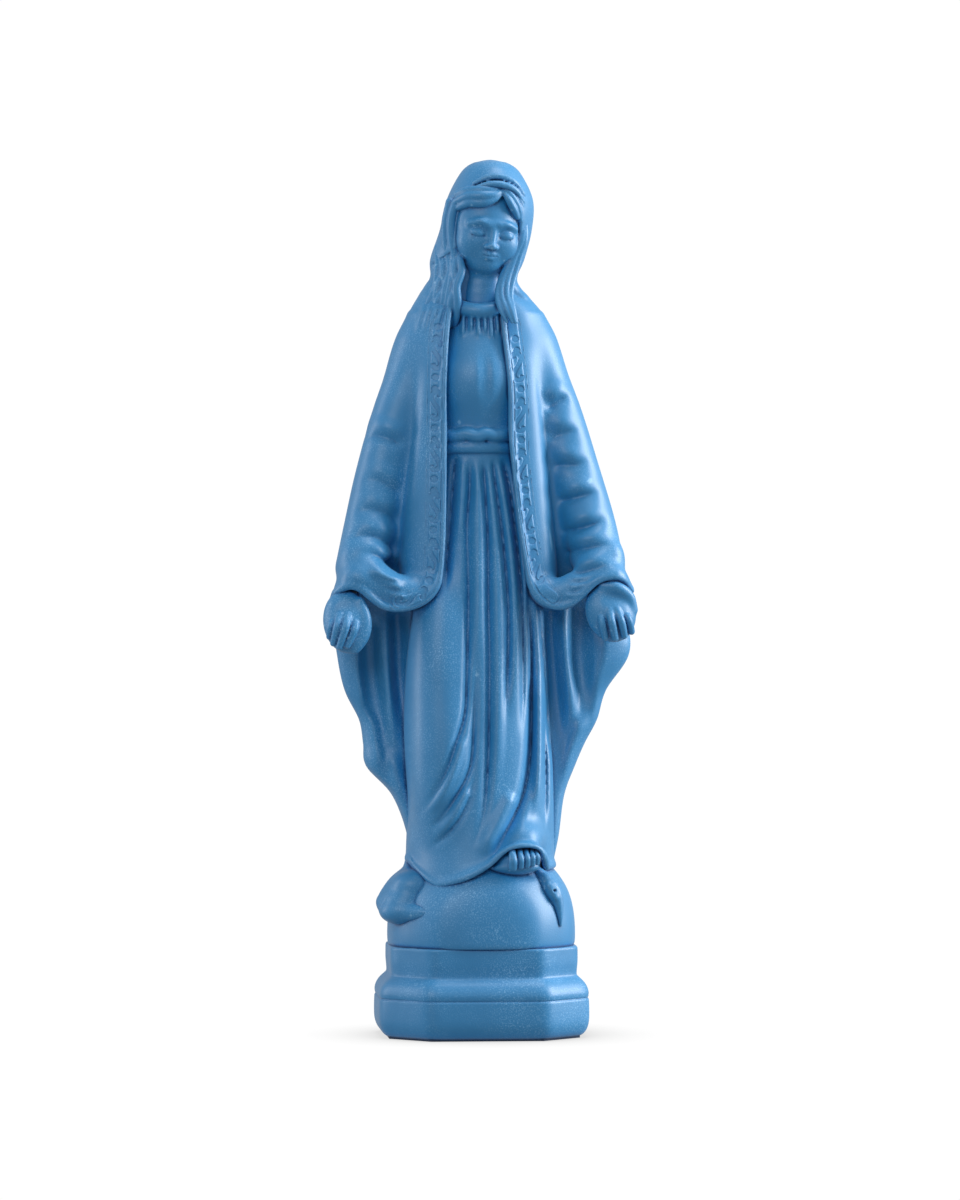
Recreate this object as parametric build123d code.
from build123d import *

import math
import os

# Devotional figure of a robed woman with open hands, standing on a globe over a serpent, on a stepped plinth.
#
# The figure is built from hollow and solid resin castings, bonded and pinned together, with one threaded tie rod
# that clamps the plinth, the globe and the robe. Units are millimetres. +Z is up, the front faces -Y, +X is to the
# right as seen from the front, and the origin is the centre of the felt's underside. Left and right in the names
# are the figure's own.

# ---------------------------------------------------------------- driving dimensions
HEIGHT = 300.0  # felt to the crown of the veil
WALL = 4.0  # wall of the hollow castings
GLUE_GAP = 0.05  # clearance of a bonded or sliding joint
OVERCUT = 1.0  # how far a cutting tool runs past the face it cuts

FELT_T = 1.0
FOOT_CLEARANCE = 0.2  # the felt is let into the plinth and stands this proud of its rim
BOARD_T = 2.5
BOARD_INSET = 3.4  # the closing board and the felt sit in a rebate of the plinth's wall
BALLAST_TOP_GAP = 8.0  # room above the plaster for the tie rod's nut and washer
BALLAST_WELL_R = 10.0

PLINTH_HALF_W = 36.0
PLINTH_HALF_D = 33.0
PLINTH_CORNER = 15.4  # leg of the cut corners
PLINTH_TOP = 31.0
PLINTH_TOP_INSET = 4.4
DECK_T = 5.0
# (height, inset of the octagon from its full size), from the foot up to the top step
PLINTH_STEPS = [
    (FOOT_CLEARANCE, 2.4),
    (4.2, 0.0),
    (13.4, 0.0),
    (14.2, 0.9),
    (18.6, 2.6),
    (20.4, PLINTH_TOP_INSET),
    (PLINTH_TOP, PLINTH_TOP_INSET),
]
SPIGOT_R = 24.0
SPIGOT_H = 2.0

GLOBE_R = 33.0
GLOBE_Z = 35.0
GLOBE_TOP = 60.0
GLOBE_INSET = 3.8  # the ball is trimmed by the plinth's octagon, inset by this much

ROD_R = 2.5
ROD_BORE_R = 2.75
ROD_BOTTOM = 19.0
ROD_TOP = 68.0
INSERT_R = 4.0
INSERT_TOP = 69.0
NUT_ACROSS_FLATS = 8.0
NUT_T = 4.0
WASHER_R = 6.0
WASHER_T = 1.0

HEM_Z = 55.0
COLLAR_Z = 250.0
NECK_X = 2.0
# Elliptical sections of the gown: (height, half width, half depth, centre x, centre y)
ROBE_SECTIONS = [
    (HEM_Z, 27.8, 28.4, -0.5, -0.6),
    (63.0, 25.2, 26.0, 0.0, 0.0),
    (85.0, 24.2, 23.6, 0.0, 0.0),
    (115.0, 23.6, 20.8, 0.0, 0.0),
    (150.0, 21.6, 18.2, 0.0, 0.0),
    (188.0, 18.0, 15.2, 0.0, 0.0),
    (201.0, 17.2, 14.2, 0.0, 0.0),
    (221.0, 18.4, 16.4, 0.0, -0.8),
    (238.0, 17.0, 12.6, 0.5, 0.0),
    (COLLAR_Z, 9.4, 8.6, NECK_X, 0.0),
]
ROBE_FLOOR_TOP = 70.0
ROBE_CAVITY_TOP = 232.0

# Elliptical sections of the veil and cloak, as above
MANTLE_SECTIONS = [
    (58.5, 28.4, 29.6, 0.0, 0.4),
    (70.0, 26.6, 28.0, 0.4, 1.2),
    (84.0, 31.0, 27.2, -1.4, 1.8),
    (98.0, 37.0, 26.4, -3.0, 2.2),
    (114.0, 42.6, 25.2, -2.4, 2.4),
    (130.0, 48.4, 24.0, 0.0, 2.6),
    (148.0, 48.6, 22.6, 0.0, 2.8),
    (166.0, 46.0, 21.6, -0.6, 3.0),
    (186.0, 41.4, 20.6, -1.0, 3.2),
    (205.0, 36.6, 19.6, -1.8, 3.2),
    (225.0, 31.0, 18.4, -2.0, 3.2),
    (240.0, 25.8, 17.2, -2.0, 3.2),
    (252.0, 19.6, 16.8, -2.0, 3.6),
    (266.0, 16.0, 17.6, -0.6, 3.8),
    (281.0, 15.4, 17.8, 2.0, 3.4),
    (291.0, 12.6, 14.8, 2.6, 3.0),
    (297.6, 7.4, 8.6, 2.8, 2.8),
    (HEIGHT, 1.8, 2.0, 2.8, 2.8),
]
WING_FRONT_Y = 2.0  # below the cuffs the mantle lies behind this plane
PANEL_HEM_Z = 147.5  # lower hem of the mantle's two front panels
# The mantle's front opening: (height, left edge, right edge)
OPENING_EDGES = [(140.0, -17.5, 18.0), (190.0, -14.2, 13.4), (228.0, -13.2, 12.0), (250.0, -7.4, 7.6), (264.0, -5.2, 8.0)]
OPENING_BACK_Y = -4.0
FRONT_CUT = 60.0  # reach of the cuts made from the front

SHOULDER = (19.0, 1.0, 232.0)
ELBOW = (33.4, 1.0, 190.0)
WRIST = (42.0, -11.0, 160.5)
SLEEVE_RADII = (9.4, 9.8, 10.4)
HAND_CENTRES = {-1: (47.2, -19.6, 143.4), 1: (44.8, -19.6, 145.8)}  # right and left hand, outwards positive
FINGER_PITCH = 2.6
FINGER_RADII = (1.9, 1.3)
HAND_PIN_R = 1.25
HAND_PIN_LENGTH = 16.0
HAND_PIN_START = 3.0  # how far above the palm's centre the wrist pin starts

HEAD_CENTRE = (2.2, -3.4, 277.0)
HEAD_R = 11.4
HEAD_HALF_HEIGHT = 15.6
FACE_OPENING_RADII = (10.4, 15.4)
FACE_OPENING_BACK_Y = -7.0
NECK_R = 6.4
NECK_PIN_R = 2.0
NECK_PIN_SPAN = (238.0, 262.0)

# Bare foot: instep, ball and the arc of toes
FOOT_CENTRE = (12.0, -24.2, 59.2)
INSTEP_LENGTH = 9.0
INSTEP_RISE = 3.2
FOOT_RADII = (4.6, 3.6)
TOE_COUNT = 5
TOE_SPREAD = 10.0
TOE_LENGTH = 4.4
TOE_RADII = (1.9, 1.3)  # big toe and little toe

# Serpent: (x, y, z, radius) along its spine
SERPENT_HEAD_SPINE = [
    (15.0, -16.0, 60.4, 1.6),
    (19.8, -18.6, 54.6, 2.4),
    (22.4, -19.4, 50.6, 3.2),
    (24.4, -20.2, 46.0, 2.2),
    (25.4, -21.2, 38.8, 0.8),
]
SERPENT_TAIL_SPINE = [
    (-24.8, 1.0, 60.0, 4.2),
    (-28.0, -5.0, 54.0, 5.4),
    (-32.0, -9.0, 46.6, 3.6),
    (-27.0, -17.6, 43.8, 3.4),
    (-20.0, -23.2, 43.6, 1.0),
]


# ---------------------------------------------------------------- helpers
def octagon(inset, z):
    """Rectangle with cut corners at height z. The inset moves every side inwards by the same distance."""
    w = PLINTH_HALF_W - inset
    d = PLINTH_HALF_D - inset
    c = PLINTH_CORNER - inset * (2 - math.sqrt(2))
    points = [(w - c, -d), (w, c - d), (w, d - c), (w - c, d), (c - w, d), (-w, d - c), (-w, c - d), (c - w, -d)]
    return Plane.XY.offset(z) * make_face(Polyline(*points, close=True))


def prism(inset, low, high):
    """Straight octagonal prism between two heights."""
    return extrude(octagon(inset, low), amount=high - low)


def cylinder(radius, low, high, x=0.0, y=0.0):
    """Upright cylinder between two heights."""
    return Pos(x, y, (low + high) / 2) * Cylinder(radius, high - low)


def egg(centre, radius, half_height):
    """Solid of revolution with an elliptical outline, round as seen from above."""
    half_outline = Ellipse(radius, half_height) & Pos(radius, 0) * Rectangle(2 * radius, 2 * half_height)
    return Pos(*centre) * revolve(Plane.XZ * half_outline, axis=Axis.Z)


def section_loft(sections, shrink=0.0):
    """Smooth loft through elliptical sections. The shrink takes that much off every half width and half depth."""
    faces = [Pos(cx, cy, z) * Ellipse(a - shrink, b - shrink) for z, a, b, cx, cy in sections]
    return loft([f.face() for f in faces])


def limb(start, end, start_r, end_r):
    """Cone between two points, with a ball at each end. The two radii differ."""
    a = Vector(*start)
    axis = Vector(*end) - a
    plane = Plane(origin=a, z_dir=axis)
    cone = plane * Pos(0, 0, axis.length / 2) * Cone(start_r, end_r, axis.length)
    return cone + Pos(*start) * Sphere(start_r) + Pos(*end) * Sphere(end_r)


def limb_chain(spine):
    """Limbs end to end along a spine of (x, y, z, radius) points."""
    body = limb(spine[0][:3], spine[1][:3], spine[0][3], spine[1][3])
    for a, b in zip(spine[1:], spine[2:]):
        body += limb(a[:3], b[:3], a[3], b[3])
    return body


def rod_between(start, end, radius):
    """Plain round rod between two points."""
    axis = end - start
    return Plane(origin=start, z_dir=axis) * Pos(0, 0, axis.length / 2) * Cylinder(radius, axis.length)


def on_side(point, side):
    """The point on the figure's right (-1) or left (+1)."""
    return (side * point[0], point[1], point[2])


# ---------------------------------------------------------------- base
def make_plinth():
    """Stepped octagonal casting, open underneath, with a deck that the tie rod passes through."""
    faces = [octagon(inset, z) for z, inset in PLINTH_STEPS]
    body = loft([f.face() for f in faces], ruled=True)
    body -= prism(PLINTH_TOP_INSET + WALL, 0.0, PLINTH_TOP - DECK_T)
    body -= prism(BOARD_INSET, 0.0, FELT_T + BOARD_T)
    body += cylinder(SPIGOT_R, PLINTH_TOP, PLINTH_TOP + SPIGOT_H)
    return body - cylinder(ROD_BORE_R, 0.0, PLINTH_TOP + SPIGOT_H + OVERCUT)


def make_base_board():
    """Fibre board that closes the plinth's underside."""
    return prism(BOARD_INSET + GLUE_GAP, FELT_T, FELT_T + BOARD_T)


def make_felt():
    """Self-adhesive felt on the closing board."""
    return prism(BOARD_INSET + GLUE_GAP, 0.0, FELT_T)


def make_ballast():
    """Plaster block that fills the plinth's cavity, with a well for the tie rod's nut."""
    top = PLINTH_TOP - DECK_T - BALLAST_TOP_GAP
    block = prism(PLINTH_TOP_INSET + WALL + GLUE_GAP, FELT_T + BOARD_T, top)
    return block - cylinder(BALLAST_WELL_R, 0.0, PLINTH_TOP)


def make_globe_outside():
    """Ball that grows out of the plinth, cut flat where the robe stands on it."""
    ball = Pos(0, 0, GLOBE_Z) * Sphere(GLOBE_R)
    return ball & prism(GLOBE_INSET, PLINTH_TOP, GLOBE_TOP)


def make_globe(outside):
    """Hollow globe with a flat top deck, seated round the plinth's spigot."""
    hollow = Pos(0, 0, GLOBE_Z) * Sphere(GLOBE_R - WALL)
    hollow &= prism(GLOBE_INSET + WALL, PLINTH_TOP - OVERCUT, GLOBE_TOP - DECK_T)
    return outside - hollow - cylinder(ROD_BORE_R, PLINTH_TOP, GLOBE_TOP + OVERCUT)


# ---------------------------------------------------------------- tie rod and its fittings
def make_tie_rod():
    """Threaded rod up through the plinth and the globe into the robe."""
    return cylinder(ROD_R - GLUE_GAP, ROD_BOTTOM, ROD_TOP)


def make_tie_washer():
    """Plain washer under the plinth's deck."""
    deck = PLINTH_TOP - DECK_T
    return cylinder(WASHER_R, deck - WASHER_T, deck) - cylinder(ROD_BORE_R, 0.0, deck)


def make_tie_nut():
    """Hexagonal nut that clamps the stack."""
    top = PLINTH_TOP - DECK_T - WASHER_T
    hexagon = Plane.XY.offset(top - NUT_T) * RegularPolygon(NUT_ACROSS_FLATS / 2, 6, major_radius=False)
    return extrude(hexagon, amount=NUT_T) - cylinder(ROD_R, 0.0, top)


def make_robe_insert():
    """Threaded brass insert in the robe's floor."""
    return cylinder(INSERT_R, GLOBE_TOP, INSERT_TOP) - cylinder(ROD_R, 0.0, INSERT_TOP)


# ---------------------------------------------------------------- robe, head and foot
def make_robe(outside, globe_outside, foot):
    """Hollow gown from the hem to the collar, seated on the globe's flat top."""
    inside_sections = [s for s in ROBE_SECTIONS if s[0] < COLLAR_Z]
    span = 2 * max(s[1] for s in ROBE_SECTIONS)
    middle = Pos(0, 0, (ROBE_FLOOR_TOP + ROBE_CAVITY_TOP) / 2) * Box(span, span, ROBE_CAVITY_TOP - ROBE_FLOOR_TOP)
    hollow = section_loft(inside_sections, shrink=WALL) & middle
    body = outside - globe_outside - hollow - foot
    body -= cylinder(INSERT_R, GLOBE_TOP - OVERCUT, INSERT_TOP)
    return body - neck_bore()


def make_head_outside():
    """Head and neck, with plain brow, nose and chin. The neck stands on the robe's collar."""
    x, y, z = HEAD_CENTRE
    front = y - HEAD_R
    skull = egg(HEAD_CENTRE, HEAD_R, HEAD_HALF_HEIGHT)
    neck = cylinder(NECK_R, COLLAR_Z, z - 6.0, x=NECK_X)
    nose = limb((x, front + 1.4, z + 1.0), (x, front + 0.4, z - 3.6), 0.9, 1.4)
    chin = Pos(x, front + 4.6, z - 10.6) * Sphere(3.4)
    return skull + neck + nose + chin


def neck_bore():
    """Bore for the neck pin, through the robe's collar and up into the head."""
    return cylinder(NECK_PIN_R + GLUE_GAP, NECK_PIN_SPAN[0], NECK_PIN_SPAN[1], x=NECK_X)


def make_neck_pin():
    """Steel pin that holds the head on the collar."""
    return cylinder(NECK_PIN_R, NECK_PIN_SPAN[0], NECK_PIN_SPAN[1], x=NECK_X)


def make_foot_outside():
    """Front of a bare foot: a tapered instep and a fan of toes, big toe towards the middle of the figure."""
    x, y, z = FOOT_CENTRE
    foot = limb((x, y + INSTEP_LENGTH, z + INSTEP_RISE), (x, y, z + 0.6), FOOT_RADII[0], FOOT_RADII[1])
    for i in range(TOE_COUNT):
        share = i / (TOE_COUNT - 1)
        toe_x = x + TOE_SPREAD * (share - 0.5)
        radius = TOE_RADII[0] + (TOE_RADII[1] - TOE_RADII[0]) * share
        tip_y = y - TOE_LENGTH + 2.4 * share
        root = (x + 0.5 * (toe_x - x), y, z + 0.4)
        foot += limb(root, (toe_x, tip_y, z - 0.3), radius + 0.8, radius)
    return foot


# ---------------------------------------------------------------- mantle and hands
def make_mantle(others):
    """Veil, cloak and sleeves in one casting. The robe and the head are let into it from the front."""
    body = section_loft(MANTLE_SECTIONS)
    wing_height = PANEL_HEM_Z - OVERCUT
    body -= Pos(0, WING_FRONT_Y - FRONT_CUT / 2, PANEL_HEM_Z - wing_height / 2) * Box(140, FRONT_CUT, wing_height)
    for side in (-1, 1):
        shoulder, elbow, wrist = (on_side(p, side) for p in (SHOULDER, ELBOW, WRIST))
        body += limb(shoulder, elbow, SLEEVE_RADII[0], SLEEVE_RADII[1])
        body += limb(elbow, wrist, SLEEVE_RADII[1], SLEEVE_RADII[2])
    left_edge = [(left, z) for z, left, _ in OPENING_EDGES]
    right_edge = [(right, z) for z, _, right in OPENING_EDGES]
    opening = Plane.XZ * make_face(Polyline(*left_edge, *reversed(right_edge), close=True))
    body -= Pos(0, OPENING_BACK_Y, 0) * extrude(opening, amount=FRONT_CUT)
    x, _, z = HEAD_CENTRE
    face_hole = Plane.XZ * (Pos(x, z) * Ellipse(*FACE_OPENING_RADII))
    body -= Pos(0, FACE_OPENING_BACK_Y, 0) * extrude(face_hole, amount=FRONT_CUT)
    for other in others:
        body -= other
    return body


def make_hand_outside(side):
    """Open hand, palm forward and fingers down: four rays from the wrist to the fingertips, and a thumb."""
    x, y, z = HAND_CENTRES[side]
    wrist = (x - 1.6, y + 5.0, z + 9.0)
    hand = limb(wrist, (x, y + 1.5, z + 3.0), 4.2, 4.4)
    for i in range(4):
        knuckle = (x + FINGER_PITCH * (i - 1.5), y - 0.6, z - 2.2)
        reach = 6.0 + 1.6 * math.sin(math.pi * (i + 0.7) / 4)
        tip = (knuckle[0] + 0.3, knuckle[1] - 2.6, knuckle[2] - reach)
        hand += limb((x - 1.6 + 1.2 * i, y + 1.5, z + 4.0), knuckle, 3.0, FINGER_RADII[0])
        hand += limb(knuckle, tip, FINGER_RADII[0], FINGER_RADII[1])
    hand += limb((x + 2.6, y + 0.5, z + 4.0), (x + 5.4, y - 3.0, z - 2.0), 2.4, 1.5)
    return hand if side > 0 else mirror(hand, about=Plane.YZ)


def hand_pin_ends(side):
    """Where each wrist pin starts in the hand and ends in the sleeve."""
    hand = Vector(*on_side(HAND_CENTRES[side], side))
    wrist = Vector(*on_side(WRIST, side))
    along = (wrist - hand).normalized()
    start = hand + along * HAND_PIN_START
    return start, start + along * HAND_PIN_LENGTH


# ---------------------------------------------------------------- assembly
def build():
    """Makes every piece and writes one file for each."""
    globe_outside = make_globe_outside()
    robe_outside = section_loft(ROBE_SECTIONS)
    foot = make_foot_outside() - globe_outside
    head_outside = make_head_outside()
    pins = {side: rod_between(*hand_pin_ends(side), HAND_PIN_R) for side in (-1, 1)}
    pin_bores = {side: rod_between(*hand_pin_ends(side), HAND_PIN_R + GLUE_GAP) for side in (-1, 1)}
    hands = {side: make_hand_outside(side) for side in (-1, 1)}
    let_in = [robe_outside, globe_outside, head_outside, foot, hands[-1], hands[1], pin_bores[-1], pin_bores[1]]
    mantle = make_mantle(let_in)

    parts = {
        "plinth": make_plinth(),
        "base_board": make_base_board(),
        "base_felt": make_felt(),
        "ballast": make_ballast(),
        "globe": make_globe(globe_outside),
        "tie_rod": make_tie_rod(),
        "tie_washer": make_tie_washer(),
        "tie_nut": make_tie_nut(),
        "robe_insert": make_robe_insert(),
        "robe": make_robe(robe_outside, globe_outside, foot),
        "head": head_outside - neck_bore(),
        "neck_pin": make_neck_pin(),
        "left_foot": foot,
        "mantle": mantle,
        "right_hand": hands[-1] - pin_bores[-1],
        "left_hand": hands[1] - pin_bores[1],
        "right_hand_pin": pins[-1],
        "left_hand_pin": pins[1],
        "serpent_head": limb_chain(SERPENT_HEAD_SPINE) - globe_outside - robe_outside - foot,
        "serpent_tail": limb_chain(SERPENT_TAIL_SPINE) - globe_outside - robe_outside - mantle,
    }
    os.makedirs("parts", exist_ok=True)
    for name, shape in parts.items():
        export_step(shape, f"parts/{name}.step")


build()
